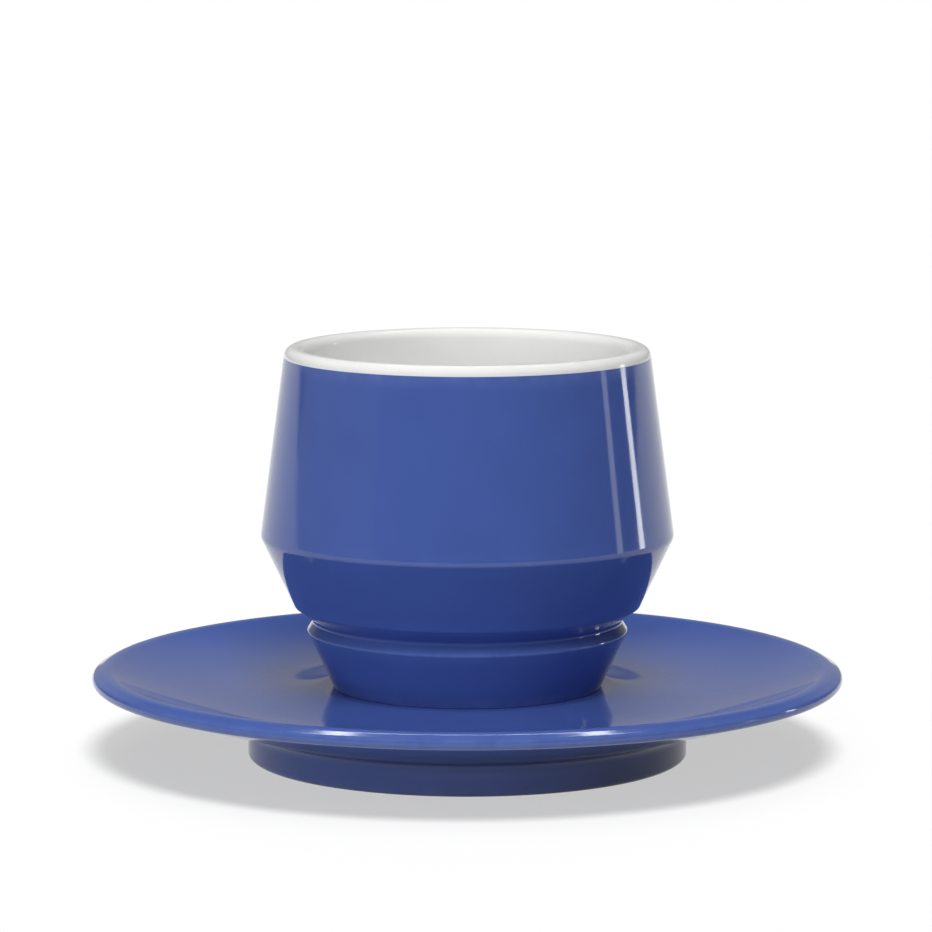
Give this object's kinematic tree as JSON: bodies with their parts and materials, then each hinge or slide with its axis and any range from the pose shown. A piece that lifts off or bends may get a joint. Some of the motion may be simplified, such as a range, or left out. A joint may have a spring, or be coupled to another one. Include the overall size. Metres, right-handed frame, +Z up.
{
  "type": "cappuccino cup with saucer",
  "caption": "Handleless double-walled cappuccino cup in blue glaze with a white lip and bowl, standing on a round footed saucer with a raised seat.",
  "frame": {"origin": "on the table, at the centre of the saucer's foot ring", "axes": "+Z up along the common axis of the cup and the saucer; X and Y are alike, because both are round"},
  "size_m": [0.16, 0.16, 0.0879],
  "materials": {
    "blue_glaze": "glossy blue glaze on porcelain",
    "white_glaze": "glossy white glaze on porcelain",
    "silicone": "matt translucent silicone"
  },
  "bodies": {
    "saucer": {"saucer": "blue_glaze"},
    "cup": {"cup_shell": "blue_glaze", "cup_liner": "white_glaze", "vent_plug": "silicone"}
  },
  "joints": [
    {"name": "cup_lift", "type": "slide", "parent": "saucer", "child": "cup", "axis": [0, 0, 1], "range_m": [0, 0.1]}
  ]
}
